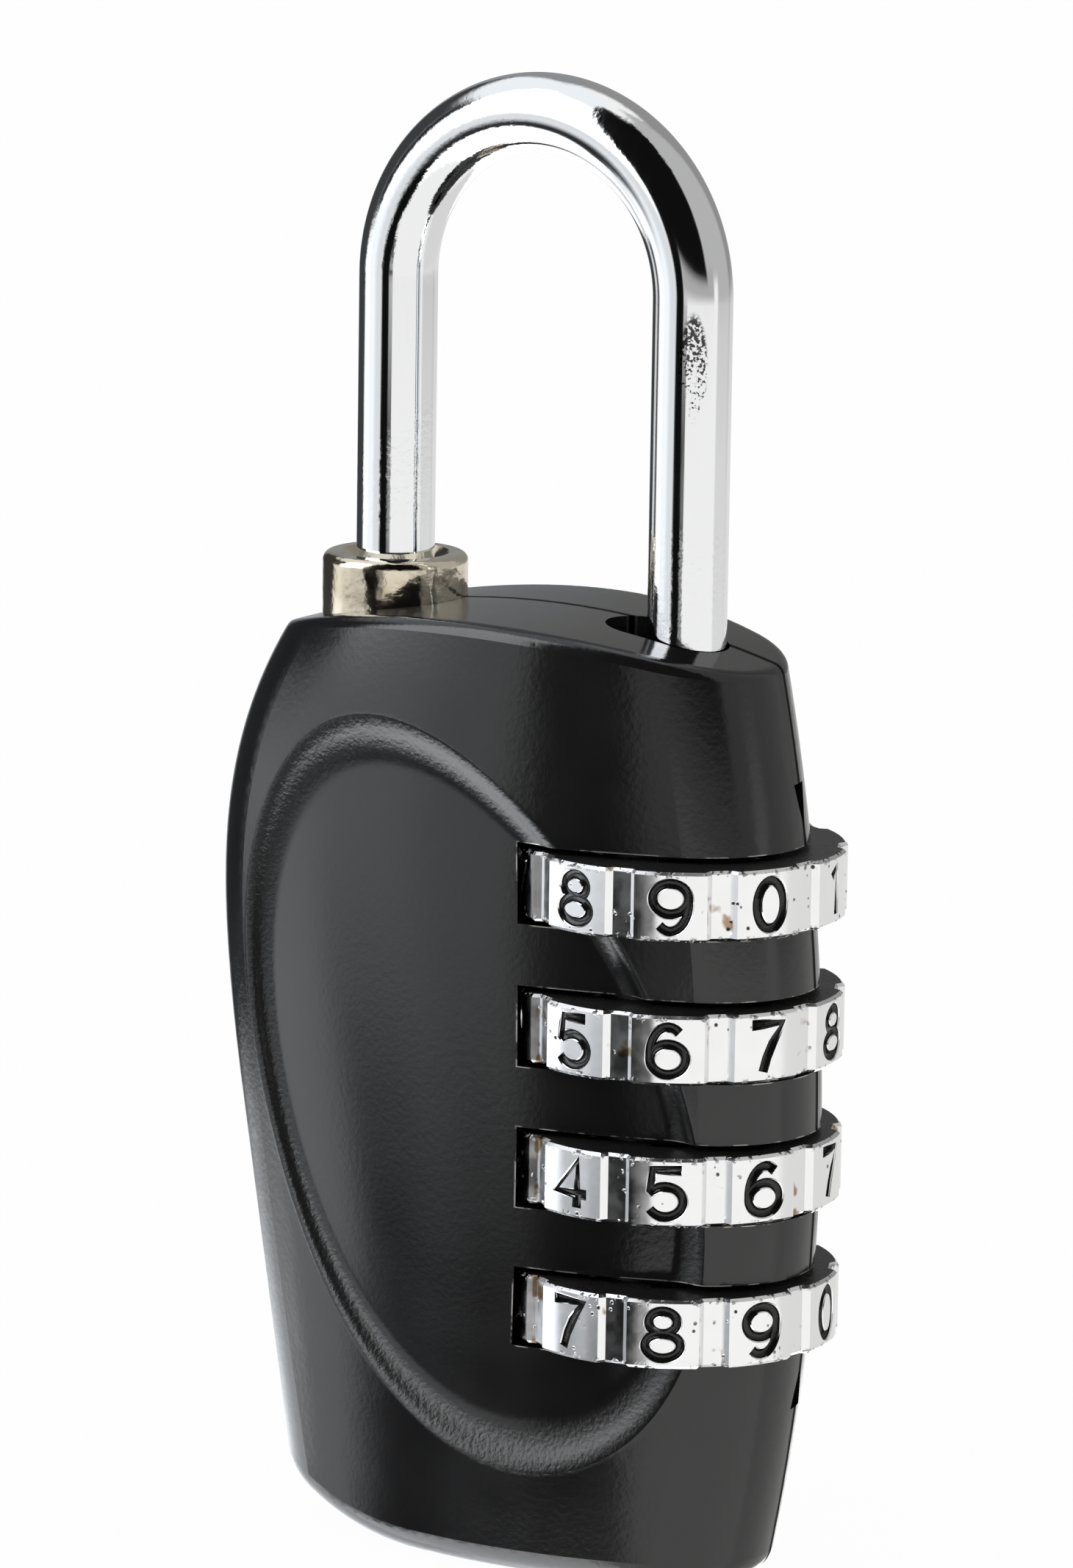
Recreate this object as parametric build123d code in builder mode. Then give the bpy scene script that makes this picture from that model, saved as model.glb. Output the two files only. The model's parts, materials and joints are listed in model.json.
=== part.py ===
"""Four-dial combination padlock: two cast shells, a steel shackle, number dials and their code sleeves."""
import os
from math import atan2, cos, degrees, pi, radians, sin, sqrt

from build123d import *

# Shackle: a bent rod, long heel leg on the right, short toe leg on the left
ROD_DIAMETER = 4.0
LEG_SPACING = 17.4
BOW_RISE = 26.8
TOE_DEPTH = 4.4
TOE_CLEARANCE = 0.8
TOE_CHAMFER = 0.5

# Number dials on the heel leg
DIAL_COUNT = 4
DIGIT_COUNT = 10
DIAL_DIAMETER = 16.5
DIAL_THICKNESS = 3.5
DIAL_PITCH = 7.2
LAND_WIDTH = 0.95
LAND_MOUTH = 1.6
LAND_DEPTH = 0.35
DIAL_CHAMFER = 0.15

# Case: how far it reaches past what it holds, and its outline from the front and from above
HEIGHT_MARGIN = 19.6
STACK_RISE = 0.65
TOE_SIDE_MARGIN = 9.15
HEEL_SIDE_MARGIN = 7.5
CASE_HALF_DEPTH = 7.9
END_RADIUS = 5.5
SHOULDER_DROP = 14.5
LEFT_UPPER_RADIUS = 23.0
LEFT_LOWER_RADIUS = 60.0
LEFT_LOWER_HEIGHT = 9.8
RIGHT_BELLY_DROP = 1.2
RIGHT_SIDE_RADIUS = 110.0
BARREL_RADIUS = 300.0
TOP_RADIUS = 50.0
FOOT_RADIUS = 22.0
FOOT_START = 2.5
FOOT_TURN = 60.0
TOP_FILLET = 0.7
FOOT_FILLET = 1.5
PARTING_Y = 1.25
SEAM_GAP = 0.1
WINDOW_MARGIN = 0.3
WINDOW_GAP = 0.4
SECTION_COUNT = 11
SECTION_MARGIN = 1.0

# Oval panel sunk in the front
PANEL_END_MARGIN = 4.5
PANEL_SIDE_MARGIN = 4.75
PANEL_TILT = 23.0
PANEL_SHIFT = -0.4
PANEL_RISE = 0.2
PANEL_DEPTH = 0.5
COVE_WIDTH = 1.6
COVE_STEP = 0.06

# Fins, washer, clip and spring on the heel leg
FIN_STAND = 1.9
FIN_WIDTH = 1.6
FIN_THICKNESS = 1.6
FIN_GAP = 0.15
KEYHOLE_CLEARANCE = 0.5
STOP_GAP = 0.05
COMB_SETBACK = 0.2
COMB_INNER = 0.6
COMB_MARGIN = 1.0
WASHER_THICKNESS = 0.8
CLIP_STAND = 1.2
CLIP_BITE = 0.5
CLIP_THICKNESS = 0.6
CLIP_OPENING = 2.4
LEG_TAIL = 0.7
SPRING_WIRE = 0.6
SPRING_TURNS = 5
ARCS_PER_TURN = 3
FLOOR_GAP = 0.8

# Code sleeves, splined to the dials
FIN_CLEARANCE = 0.2
SLEEVE_WALL = 0.6
FLANGE_THICKNESS = 1.6
SPLINE_STEP = 0.3
SPLINE_DEPTH = 0.6
SPLINE_TOOTH = 1.5
SPLINE_HEIGHT = 1.6
SPLINE_CLEARANCE = 0.12
RUNNING_CLEARANCE = 0.15
STACK_CLEARANCE = 0.05

# Toe collar
BORE_CLEARANCE = 0.25
COLLAR_WALL = 1.45
COLLAR_STAND = 1.9
COLLAR_SEAT = 4.8
COLLAR_LIP = 0.7
COLLAR_LIP_HEIGHT = 0.9
COLLAR_ROUND = 0.45
COLLAR_SINK = 0.5
FIT = 0.02

# Detent leaf spring
LEAF_THICKNESS = 0.4
LEAF_WIDTH = 3.0
LEAF_OFFSET = 1.5
NIB_WIDTH = 0.7
NIB_HALF_LENGTH = 2.4
NIB_GAP = 0.05
LEAF_OVERHANG = 3.0
LEAF_SLOT_GAP = 0.1

# Dowel pins between the shells: three along the left side, one at the foot and one at the top
PIN_DIAMETER = 2.0
PIN_FRONT = 4.0
PIN_REAR = 3.0
PIN_INSET = 5.0
PIN_TOP_DROP = 9.2
PIN_LOW_Z = 12.0
FOOT_PIN = (-5.0, 5.0)
TOP_PIN_SHIFT = -1.8
TOP_PIN_DROP = 5.2

# Index notches at the seam, over the first dial and under the last
NOTCH_WIDTH = 1.3
NOTCH_LENGTH = 2.6
NOTCH_DEPTH = 0.9
NOTCH_GAP = 0.5

# Places that follow from the sizes above; x = 0 is the middle of the padlock's own width
ROD_RADIUS = ROD_DIAMETER / 2
DIAL_RADIUS = DIAL_DIAMETER / 2
CASE_HEIGHT = DIAL_COUNT * DIAL_PITCH + HEIGHT_MARGIN
CASE_LEFT = LEG_SPACING / 2 + TOE_SIDE_MARGIN
CASE_RIGHT = LEG_SPACING / 2 + HEEL_SIDE_MARGIN
MID_X = (TOE_SIDE_MARGIN - DIAL_RADIUS) / 2
HEEL_X = MID_X + LEG_SPACING / 2
TOE_X = MID_X - LEG_SPACING / 2
BOW_TOP = CASE_HEIGHT + BOW_RISE
BOW_SPRING_Z = BOW_TOP - LEG_SPACING / 2 - ROD_RADIUS
LIFT = TOE_DEPTH + TOE_CLEARANCE
DIAL_STACK_Z = CASE_HEIGHT / 2 + STACK_RISE
DIAL_ZS = [DIAL_STACK_Z + DIAL_PITCH * ((DIAL_COUNT - 1) / 2 - i) for i in range(DIAL_COUNT)]
READ_ANGLE = degrees(atan2(PARTING_Y, HEEL_SIDE_MARGIN))
DIGIT_STEP = 360 / DIGIT_COUNT
WINDOW_HEIGHT = DIAL_THICKNESS + 2 * WINDOW_MARGIN
POCKET_RADIUS = DIAL_RADIUS + WINDOW_GAP
FIN_REACH = ROD_RADIUS + FIN_STAND
FIN_WELL = FIN_REACH + FIN_CLEARANCE
FIN_TOP = DIAL_PITCH / 2 - FLANGE_THICKNESS - FIN_GAP
FIN_WELL_TOP = DIAL_ZS[0] + FIN_TOP + LIFT + 2 * FIN_GAP
KEYHOLE_REACH = FIN_REACH + KEYHOLE_CLEARANCE
COMB_OUTER = ROD_RADIUS - COMB_SETBACK
COMB_TOP = DIAL_ZS[0] + FIN_TOP + COMB_MARGIN
COMB_FOOT = DIAL_ZS[-1] + FIN_TOP - FIN_THICKNESS - COMB_MARGIN
SLEEVE_RADIUS = FIN_WELL + SLEEVE_WALL
SLEEVE_WELL = SLEEVE_RADIUS + RUNNING_CLEARANCE
SLEEVE_TOP = DIAL_ZS[0] + DIAL_PITCH / 2
SLEEVE_FOOT = DIAL_ZS[-1] - DIAL_PITCH / 2
SPLINE_ROOT = SLEEVE_RADIUS + SPLINE_STEP
SPLINE_TIP = SPLINE_ROOT + SPLINE_DEPTH
SPLINE_BASE = DIAL_THICKNESS / 2 - SPLINE_HEIGHT - SPLINE_CLEARANCE
LEG_HOLE = ROD_RADIUS + RUNNING_CLEARANCE
WASHER_TOP = SLEEVE_FOOT - STACK_CLEARANCE
WASHER_FOOT = WASHER_TOP - WASHER_THICKNESS
CLIP_RADIUS = ROD_RADIUS + CLIP_STAND
CLIP_GROOVE = ROD_RADIUS - CLIP_BITE
CLIP_TOP = WASHER_FOOT - LIFT - STOP_GAP
SPRING_RADIUS = (CLIP_RADIUS + SLEEVE_WELL) / 2
LEG_FOOT = CLIP_TOP - CLIP_THICKNESS - LEG_TAIL
WELL_FLOOR = LEG_FOOT - FLOOR_GAP
COLLAR_BORE = ROD_RADIUS + BORE_CLEARANCE
COLLAR_RADIUS = COLLAR_BORE + COLLAR_WALL
COLLAR_LIP_RADIUS = COLLAR_RADIUS + COLLAR_LIP
COLLAR_TOP = CASE_HEIGHT + COLLAR_STAND
COLLAR_FOOT = CASE_HEIGHT - COLLAR_SEAT
TOE_FOOT = COLLAR_TOP - TOE_DEPTH
DETENT_ANGLE = radians(READ_ANGLE + 180 - DIGIT_STEP / 2)
LEAF_PLANE = Plane(
    origin=(HEEL_X, 0, 0),
    x_dir=(cos(DETENT_ANGLE), sin(DETENT_ANGLE), 0),
    z_dir=(sin(DETENT_ANGLE), -cos(DETENT_ANGLE), 0),
)
LEAF_FACE = DIAL_RADIUS + LEAF_OFFSET
LEAF_LENGTH = DIAL_ZS[0] - DIAL_ZS[-1] + 2 * LEAF_OVERHANG


def arc_drop(distance, radius):
    """Distance by which a circle of this radius falls away at this distance from its crown."""
    return radius - sqrt(radius**2 - distance**2)


def left_reach(z):
    """Left side: a tight arc above the widest point, a wider one below it and a straight flank under that."""
    fall = CASE_HEIGHT - SHOULDER_DROP - z
    if fall < 0:
        return CASE_LEFT - arc_drop(fall, LEFT_UPPER_RADIUS)
    turn = min(fall, LEFT_LOWER_HEIGHT)
    slope = turn / sqrt(LEFT_LOWER_RADIUS**2 - turn**2)
    return CASE_LEFT - arc_drop(turn, LEFT_LOWER_RADIUS) - slope * (fall - turn)


def right_reach(z):
    """Right side: one flat arc, widest a little under mid-height."""
    return CASE_RIGHT - arc_drop(z - CASE_HEIGHT / 2 + RIGHT_BELLY_DROP, RIGHT_SIDE_RADIUS)


def half_depth(z):
    """Half of the case's depth, which swells slightly towards mid-height."""
    return CASE_HALF_DEPTH - arc_drop(z - CASE_HEIGHT / 2, BARREL_RADIUS)


def case_form():
    """Lofted body through plan sections, each an oval of four tangent arcs."""
    low = -SECTION_MARGIN
    high = CASE_HEIGHT + SECTION_MARGIN
    with BuildPart() as form:
        for i in range(SECTION_COUNT):
            z = low + (high - low) * i / (SECTION_COUNT - 1)
            half = (left_reach(z) + right_reach(z)) / 2
            mid = MID_X + (right_reach(z) - left_reach(z)) / 2
            deep = half_depth(z)
            face_radius = (half**2 + deep**2 - 2 * half * END_RADIUS) / (2 * (deep - END_RADIUS))
            reach = END_RADIUS / (face_radius - END_RADIUS)
            join_x = (half - END_RADIUS) * (1 + reach)
            join_y = (face_radius - deep) * reach
            with BuildSketch(Plane.XY.offset(z)):
                with BuildLine():
                    ThreePointArc((mid - join_x, -join_y), (mid, -deep), (mid + join_x, -join_y))
                    ThreePointArc((mid + join_x, -join_y), (mid + half, 0), (mid + join_x, join_y))
                    ThreePointArc((mid + join_x, join_y), (mid, deep), (mid - join_x, join_y))
                    ThreePointArc((mid - join_x, join_y), (mid - half, 0), (mid - join_x, -join_y))
                make_face()
        loft()
    return form.part


def outer_body():
    """The case's outer form: the lofted body between its domed top and its foot, with the sunk panel."""
    side = CASE_LEFT + END_RADIUS
    foot_x = MID_X - FOOT_START
    foot_turn = radians(FOOT_TURN)
    foot_end = (foot_x - FOOT_RADIUS * sin(foot_turn), FOOT_RADIUS * (1 - cos(foot_turn)))
    foot_mid = (foot_x - FOOT_RADIUS * sin(foot_turn / 2), FOOT_RADIUS * (1 - cos(foot_turn / 2)))
    top_end = CASE_HEIGHT - arc_drop(side, TOP_RADIUS)
    with BuildPart() as body:
        add(case_form())
        with BuildSketch(Plane.XZ):
            with BuildLine():
                Polyline((foot_x, 0), (MID_X + side, 0), (MID_X + side, top_end))
                ThreePointArc((MID_X + side, top_end), (MID_X, CASE_HEIGHT), (MID_X - side, top_end))
                Polyline((MID_X - side, top_end), (MID_X - side, foot_end[1]), foot_end)
                ThreePointArc(foot_end, foot_mid, (foot_x, 0))
            make_face()
        extrude(amount=2 * CASE_HALF_DEPTH, both=True, mode=Mode.INTERSECT)
        top = body.faces().sort_by(Axis.Z)[-1]
        fillet(top.edges(), TOP_FILLET)
        flat_foot = body.faces().sort_by(Axis.Z)[0]
        round_foot = body.faces().filter_by(GeomType.CYLINDER).sort_by(Axis.Z)[0]
        foot_rim = (flat_foot.edges() + round_foot.edges()).filter_by(Axis.Y, reverse=True)
        fillet(foot_rim, FOOT_FILLET)
        add(panel_cut(), mode=Mode.SUBTRACT)
        front = body.faces().filter_by(GeomType.BSPLINE).sort_by(Axis.Y)[0]
        panel_wall = body.faces().filter_by(GeomType.EXTRUSION)[0]
        lip = panel_wall.edges().sort_by(Axis.Y)[0]
        chamfer(lip, COVE_WIDTH, PANEL_DEPTH - COVE_STEP, reference=front)
    return body.part


def panel_cut():
    """What is taken away for the oval panel, whose floor follows the crowned front."""
    half_length = CASE_HEIGHT / 2 - PANEL_END_MARGIN - COVE_WIDTH
    half_width = (CASE_LEFT + CASE_RIGHT) / 2 - PANEL_SIDE_MARGIN - COVE_WIDTH
    with BuildPart() as cut:
        with BuildSketch(Plane.XZ):
            with Locations((MID_X + PANEL_SHIFT, CASE_HEIGHT / 2 + PANEL_RISE)):
                Ellipse(half_length, half_width, rotation=90 + PANEL_TILT)
        extrude(amount=2 * CASE_HALF_DEPTH)
        add(case_form().moved(Location((0, PANEL_DEPTH, 0))), mode=Mode.SUBTRACT)
    return cut.part


def pin_sketch(radius):
    """Start faces of the dowel pins or of their holes, in front of the parting plane."""
    side_levels = (CASE_HEIGHT - PIN_TOP_DROP, CASE_HEIGHT / 2, PIN_LOW_Z)
    places = [(MID_X + PIN_INSET - left_reach(z), z) for z in side_levels]
    places.append((MID_X + FOOT_PIN[0], FOOT_PIN[1]))
    places.append((MID_X + TOP_PIN_SHIFT, CASE_HEIGHT - TOP_PIN_DROP))
    with BuildSketch(Plane.XZ.offset(PIN_FRONT - PARTING_Y)) as sketch:
        with Locations(places):
            Circle(radius)
    return sketch.sketch


# Round upright pockets in the case: axis, radius, lowest and highest level
ROUND_POCKETS = [
    (HEEL_X, POCKET_RADIUS, z - WINDOW_HEIGHT / 2, z + WINDOW_HEIGHT / 2) for z in DIAL_ZS
] + [
    (HEEL_X, SLEEVE_WELL, WELL_FLOOR, SLEEVE_TOP),
    (HEEL_X, FIN_WELL, SLEEVE_TOP, FIN_WELL_TOP),
    (TOE_X, COLLAR_RADIUS + FIT, COLLAR_FOOT, CASE_HEIGHT),
    (TOE_X, COLLAR_LIP_RADIUS + FIT, COLLAR_FOOT - FIT, COLLAR_FOOT + COLLAR_LIP_HEIGHT + FIT),
]

with BuildPart() as case:
    add(outer_body())
    for x, radius, low, high in ROUND_POCKETS:
        with Locations((x, 0, low)):
            Cylinder(radius, high - low, align=(Align.CENTER, Align.CENTER, Align.MIN), mode=Mode.SUBTRACT)
    # Keyhole in the top, which lets the leg and its fins in
    with BuildSketch(Plane.XY.offset(FIN_WELL_TOP)):
        with Locations((HEEL_X - (KEYHOLE_REACH - LEG_HOLE) / 2, 0)):
            SlotCenterToCenter(KEYHOLE_REACH - LEG_HOLE, 2 * LEG_HOLE)
    extrude(amount=CASE_HEIGHT - FIN_WELL_TOP, mode=Mode.SUBTRACT)
    # Slot of the detent spring
    with BuildSketch(LEAF_PLANE):
        with Locations((DIAL_RADIUS, DIAL_STACK_Z)):
            Rectangle(
                LEAF_OFFSET + LEAF_THICKNESS + LEAF_SLOT_GAP,
                LEAF_LENGTH + 2 * LEAF_SLOT_GAP,
                align=(Align.MIN, Align.CENTER),
            )
    extrude(amount=LEAF_WIDTH / 2 + LEAF_SLOT_GAP, both=True, mode=Mode.SUBTRACT)
    extrude(pin_sketch(PIN_DIAMETER / 2 + FIT), amount=-(PIN_FRONT + PIN_REAR), mode=Mode.SUBTRACT)
    # Index notches at the seam, which point at the dials
    for window_edge, away in (
        (DIAL_ZS[0] + WINDOW_HEIGHT / 2, 1),
        (DIAL_ZS[-1] - WINDOW_HEIGHT / 2, -1),
    ):
        tip = window_edge + away * NOTCH_GAP
        base = tip + away * NOTCH_LENGTH
        floor_x = MID_X + right_reach(base) - NOTCH_DEPTH
        with BuildSketch(Plane.YZ.offset(floor_x)):
            with BuildLine():
                Polyline(
                    (PARTING_Y, tip),
                    (PARTING_Y - NOTCH_WIDTH / 2, base),
                    (PARTING_Y + NOTCH_WIDTH / 2, base),
                    close=True,
                )
            make_face()
        extrude(amount=2 * NOTCH_DEPTH, mode=Mode.SUBTRACT)

with BuildPart() as front_shell:
    add(case.part)
    split(bisect_by=Plane.XZ.offset(SEAM_GAP / 2 - PARTING_Y), keep=Keep.TOP)

with BuildPart() as rear_shell:
    add(case.part)
    split(bisect_by=Plane.XZ.offset(-SEAM_GAP / 2 - PARTING_Y), keep=Keep.BOTTOM)

with BuildPart() as shackle:
    with BuildLine() as rod:
        Line((HEEL_X, 0, LEG_FOOT), (HEEL_X, 0, BOW_SPRING_Z))
        ThreePointArc(
            (HEEL_X, 0, BOW_SPRING_Z), (MID_X, 0, BOW_TOP - ROD_RADIUS), (TOE_X, 0, BOW_SPRING_Z)
        )
        Line((TOE_X, 0, BOW_SPRING_Z), (TOE_X, 0, TOE_FOOT))
    with BuildSketch(Plane(rod.line @ 0, z_dir=rod.line % 0)):
        Circle(ROD_RADIUS)
    sweep()
    toe_end = shackle.faces().filter_by(Plane.XY).sort_by(Axis.X)[0]
    chamfer(toe_end.edges(), TOE_CHAMFER)
    # Slot of the fin comb
    with BuildSketch(Plane.XZ):
        with Locations((HEEL_X - COMB_INNER, COMB_FOOT)):
            Rectangle(ROD_RADIUS, COMB_TOP - COMB_FOOT, align=(Align.MAX, Align.MIN))
    extrude(amount=FIN_WIDTH / 2 + FIT, both=True, mode=Mode.SUBTRACT)
    # Groove of the clip
    with BuildSketch(Plane.XY.offset(CLIP_TOP - CLIP_THICKNESS)):
        with Locations((HEEL_X, 0)):
            Circle(ROD_DIAMETER)
            Circle(CLIP_GROOVE, mode=Mode.SUBTRACT)
    extrude(amount=CLIP_THICKNESS, mode=Mode.SUBTRACT)

with BuildPart() as fin_comb:
    with BuildSketch(Plane.XZ):
        with Locations((HEEL_X - COMB_INNER, COMB_FOOT + FIT)):
            Rectangle(COMB_OUTER - COMB_INNER, COMB_TOP - COMB_FOOT - 2 * FIT, align=(Align.MAX, Align.MIN))
        with Locations([(HEEL_X - COMB_INNER, z + FIN_TOP) for z in DIAL_ZS]):
            Rectangle(FIN_REACH - COMB_INNER, FIN_THICKNESS, align=(Align.MAX, Align.MAX))
    extrude(amount=FIN_WIDTH / 2, both=True)

with BuildPart() as spindle_clip:
    with BuildSketch(Plane.XY.offset(CLIP_TOP - CLIP_THICKNESS + FIT)):
        with Locations((HEEL_X, 0)):
            Circle(CLIP_RADIUS)
            Circle(CLIP_GROOVE + FIT, mode=Mode.SUBTRACT)
            Rectangle(2 * CLIP_RADIUS, CLIP_OPENING, align=(Align.MIN, Align.CENTER), mode=Mode.SUBTRACT)
    extrude(amount=CLIP_THICKNESS - 2 * FIT)

with BuildPart() as thrust_washer:
    with BuildSketch(Plane.XY.offset(WASHER_FOOT)):
        with Locations((HEEL_X, 0)):
            Circle(SLEEVE_RADIUS)
            Circle(LEG_HOLE, mode=Mode.SUBTRACT)
    extrude(amount=WASHER_THICKNESS)

with BuildPart() as reset_spring:
    low_turn = WELL_FLOOR + SPRING_WIRE / 2 + STOP_GAP
    high_turn = WASHER_FOOT - SPRING_WIRE / 2 - STOP_GAP
    arc_count = SPRING_TURNS * ARCS_PER_TURN

    def on_coil(step):
        """Point of the coil's centre line, counted in arcs from its foot."""
        angle = 2 * pi * step / ARCS_PER_TURN
        height = low_turn + (high_turn - low_turn) * step / arc_count
        return (HEEL_X + SPRING_RADIUS * cos(angle), SPRING_RADIUS * sin(angle), height)

    with BuildLine() as coil:
        for arc in range(arc_count):
            ThreePointArc(on_coil(arc), on_coil(arc + 0.5), on_coil(arc + 1))
    with BuildSketch(Plane(coil.line @ 0, z_dir=coil.line % 0)):
        Circle(SPRING_WIRE / 2)
    sweep()
    print("reset spring, least gap between turns:", (high_turn - low_turn) / SPRING_TURNS - SPRING_WIRE)

with BuildPart() as toe_collar:
    with BuildSketch(Plane.XZ):
        with BuildLine():
            Polyline(
                (TOE_X + COLLAR_BORE, COLLAR_FOOT),
                (TOE_X + COLLAR_LIP_RADIUS, COLLAR_FOOT),
                (TOE_X + COLLAR_LIP_RADIUS, COLLAR_FOOT + COLLAR_LIP_HEIGHT),
                (TOE_X + COLLAR_RADIUS, COLLAR_FOOT + COLLAR_LIP_HEIGHT),
                (TOE_X + COLLAR_RADIUS, COLLAR_TOP),
                (TOE_X + COLLAR_BORE + COLLAR_SINK, COLLAR_TOP),
                (TOE_X + COLLAR_BORE, COLLAR_TOP - COLLAR_SINK),
                close=True,
            )
        make_face()
    revolve(axis=Axis((TOE_X, 0, 0), (0, 0, 1)))
    rim = toe_collar.edges().filter_by(GeomType.CIRCLE).group_by(Axis.Z)[-1].sort_by(SortBy.RADIUS)[-1]
    fillet(rim, COLLAR_ROUND)

with BuildPart() as detent_spring:
    with BuildSketch(LEAF_PLANE):
        with Locations((LEAF_FACE, DIAL_STACK_Z)):
            Rectangle(LEAF_THICKNESS, LEAF_LENGTH, align=(Align.MIN, Align.CENTER))
    extrude(amount=LEAF_WIDTH / 2, both=True)
    # One nib for each dial, which lies in a land between two digits
    nib_tip = DIAL_RADIUS - LAND_DEPTH + NIB_GAP
    with BuildSketch(LEAF_PLANE):
        for z in DIAL_ZS:
            nib_foot = (LEAF_FACE, z - NIB_HALF_LENGTH)
            nib_head = (LEAF_FACE, z + NIB_HALF_LENGTH)
            with BuildLine():
                ThreePointArc(nib_foot, (nib_tip, z), nib_head)
                Line(nib_head, nib_foot)
            make_face()
    extrude(amount=NIB_WIDTH / 2, both=True)

with BuildPart() as case_pins:
    extrude(pin_sketch(PIN_DIAMETER / 2), amount=-(PIN_FRONT + PIN_REAR))


def number_dial(z):
    """Number wheel: ten pads parted by sunk lands, splined to its sleeve in the upper half of its bore."""
    land_angle = READ_ANGLE + DIGIT_STEP / 2
    side_slope = (LAND_MOUTH - LAND_WIDTH) / 2
    land = [
        (-LAND_DEPTH, -LAND_WIDTH / 2),
        (LAND_DEPTH, -LAND_MOUTH / 2 - side_slope),
        (LAND_DEPTH, LAND_MOUTH / 2 + side_slope),
        (-LAND_DEPTH, LAND_WIDTH / 2),
    ]
    with BuildPart() as dial:
        with BuildSketch(Plane.XY.offset(z - DIAL_THICKNESS / 2)):
            with Locations((HEEL_X, 0)):
                Circle(DIAL_RADIUS)
                with PolarLocations(DIAL_RADIUS, DIGIT_COUNT, start_angle=land_angle):
                    Polygon(*land, align=None, mode=Mode.SUBTRACT)
        extrude(amount=DIAL_THICKNESS)
        chamfer(dial.faces().sort_by(Axis.Z)[-1].edges(), DIAL_CHAMFER)
        chamfer(dial.faces().sort_by(Axis.Z)[0].edges(), DIAL_CHAMFER)
        with BuildSketch(Plane.XY.offset(z - DIAL_THICKNESS / 2)):
            with Locations((HEEL_X, 0)):
                Circle(SPLINE_TIP + SPLINE_CLEARANCE)
        extrude(amount=DIAL_THICKNESS / 2, mode=Mode.SUBTRACT)
        with BuildSketch(Plane.XY.offset(z)):
            with Locations((HEEL_X, 0)):
                Circle(SPLINE_TIP + SPLINE_CLEARANCE)
                with PolarLocations(SPLINE_ROOT + SPLINE_CLEARANCE, DIGIT_COUNT, start_angle=land_angle):
                    Rectangle(
                        SPLINE_TIP, SPLINE_TOOTH, align=(Align.MIN, Align.CENTER), mode=Mode.SUBTRACT
                    )
        extrude(amount=DIAL_THICKNESS / 2, mode=Mode.SUBTRACT)
    return dial.part


def code_sleeve(z):
    """Code sleeve: open well for the fin below, flange with its gate above, ten spline teeth outside."""
    low = z - DIAL_PITCH / 2
    with BuildPart() as sleeve:
        with BuildSketch(Plane.XY.offset(low)):
            with Locations((HEEL_X, 0)):
                Circle(SLEEVE_RADIUS)
        extrude(amount=DIAL_PITCH - STACK_CLEARANCE)
        with BuildSketch(Plane.XY.offset(z + SPLINE_BASE)):
            with Locations((HEEL_X, 0)):
                Circle(SPLINE_ROOT)
                with PolarLocations(0, DIGIT_COUNT, start_angle=READ_ANGLE):
                    Rectangle(SPLINE_TIP, SPLINE_TOOTH, align=(Align.MIN, Align.CENTER))
        extrude(amount=SPLINE_HEIGHT)
        with BuildSketch(Plane.XY.offset(low)):
            with Locations((HEEL_X, 0)):
                Circle(FIN_WELL)
        extrude(amount=DIAL_PITCH - FLANGE_THICKNESS, mode=Mode.SUBTRACT)
        with BuildSketch(Plane.XY.offset(low)):
            with Locations((HEEL_X, 0)):
                Circle(LEG_HOLE)
                Rectangle(FIN_WELL, FIN_WIDTH + 2 * FIN_GAP, align=(Align.MAX, Align.CENTER))
        extrude(amount=DIAL_PITCH, mode=Mode.SUBTRACT)
    return sleeve.part


os.makedirs("parts", exist_ok=True)
pieces = {
    "front_shell": front_shell.part,
    "rear_shell": rear_shell.part,
    "shackle": shackle.part,
    "fin_comb": fin_comb.part,
    "spindle_clip": spindle_clip.part,
    "thrust_washer": thrust_washer.part,
    "reset_spring": reset_spring.part,
    "toe_collar": toe_collar.part,
    "detent_spring": detent_spring.part,
    "case_pins": case_pins.part,
}
for number, z in enumerate(DIAL_ZS, start=1):
    pieces[f"dial_{number}"] = number_dial(z)
    pieces[f"sleeve_{number}"] = code_sleeve(z)
for name, piece in pieces.items():
    piece.label = name
    export_step(piece, f"parts/{name}.step")
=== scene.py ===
"""Looks of the combination padlock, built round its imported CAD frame."""
import json
import math

import bmesh
import bpy
from mathutils import Matrix, Vector
from mathutils.bvhtree import BVHTree
from mathutils.interpolate import poly_3d_calc


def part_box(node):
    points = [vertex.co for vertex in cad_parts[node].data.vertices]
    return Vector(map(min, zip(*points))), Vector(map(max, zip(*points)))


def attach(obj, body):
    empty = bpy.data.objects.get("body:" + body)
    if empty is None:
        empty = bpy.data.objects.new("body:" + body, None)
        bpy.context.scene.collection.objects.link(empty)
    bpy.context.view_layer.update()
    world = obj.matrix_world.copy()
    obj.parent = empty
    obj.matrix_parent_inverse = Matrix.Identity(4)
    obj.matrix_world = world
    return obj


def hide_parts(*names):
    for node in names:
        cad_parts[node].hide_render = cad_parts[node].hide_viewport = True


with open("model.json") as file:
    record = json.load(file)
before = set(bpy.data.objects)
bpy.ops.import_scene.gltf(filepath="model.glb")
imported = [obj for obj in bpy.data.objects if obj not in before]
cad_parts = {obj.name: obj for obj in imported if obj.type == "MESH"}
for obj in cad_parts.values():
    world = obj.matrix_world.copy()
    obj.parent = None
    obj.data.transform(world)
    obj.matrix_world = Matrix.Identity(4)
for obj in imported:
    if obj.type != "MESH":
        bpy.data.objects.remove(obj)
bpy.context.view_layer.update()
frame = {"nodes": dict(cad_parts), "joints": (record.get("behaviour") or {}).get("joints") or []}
NODES = frame["nodes"]
JOINTS = {joint["name"]: joint for joint in frame["joints"]}
MM = 0.001

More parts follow.
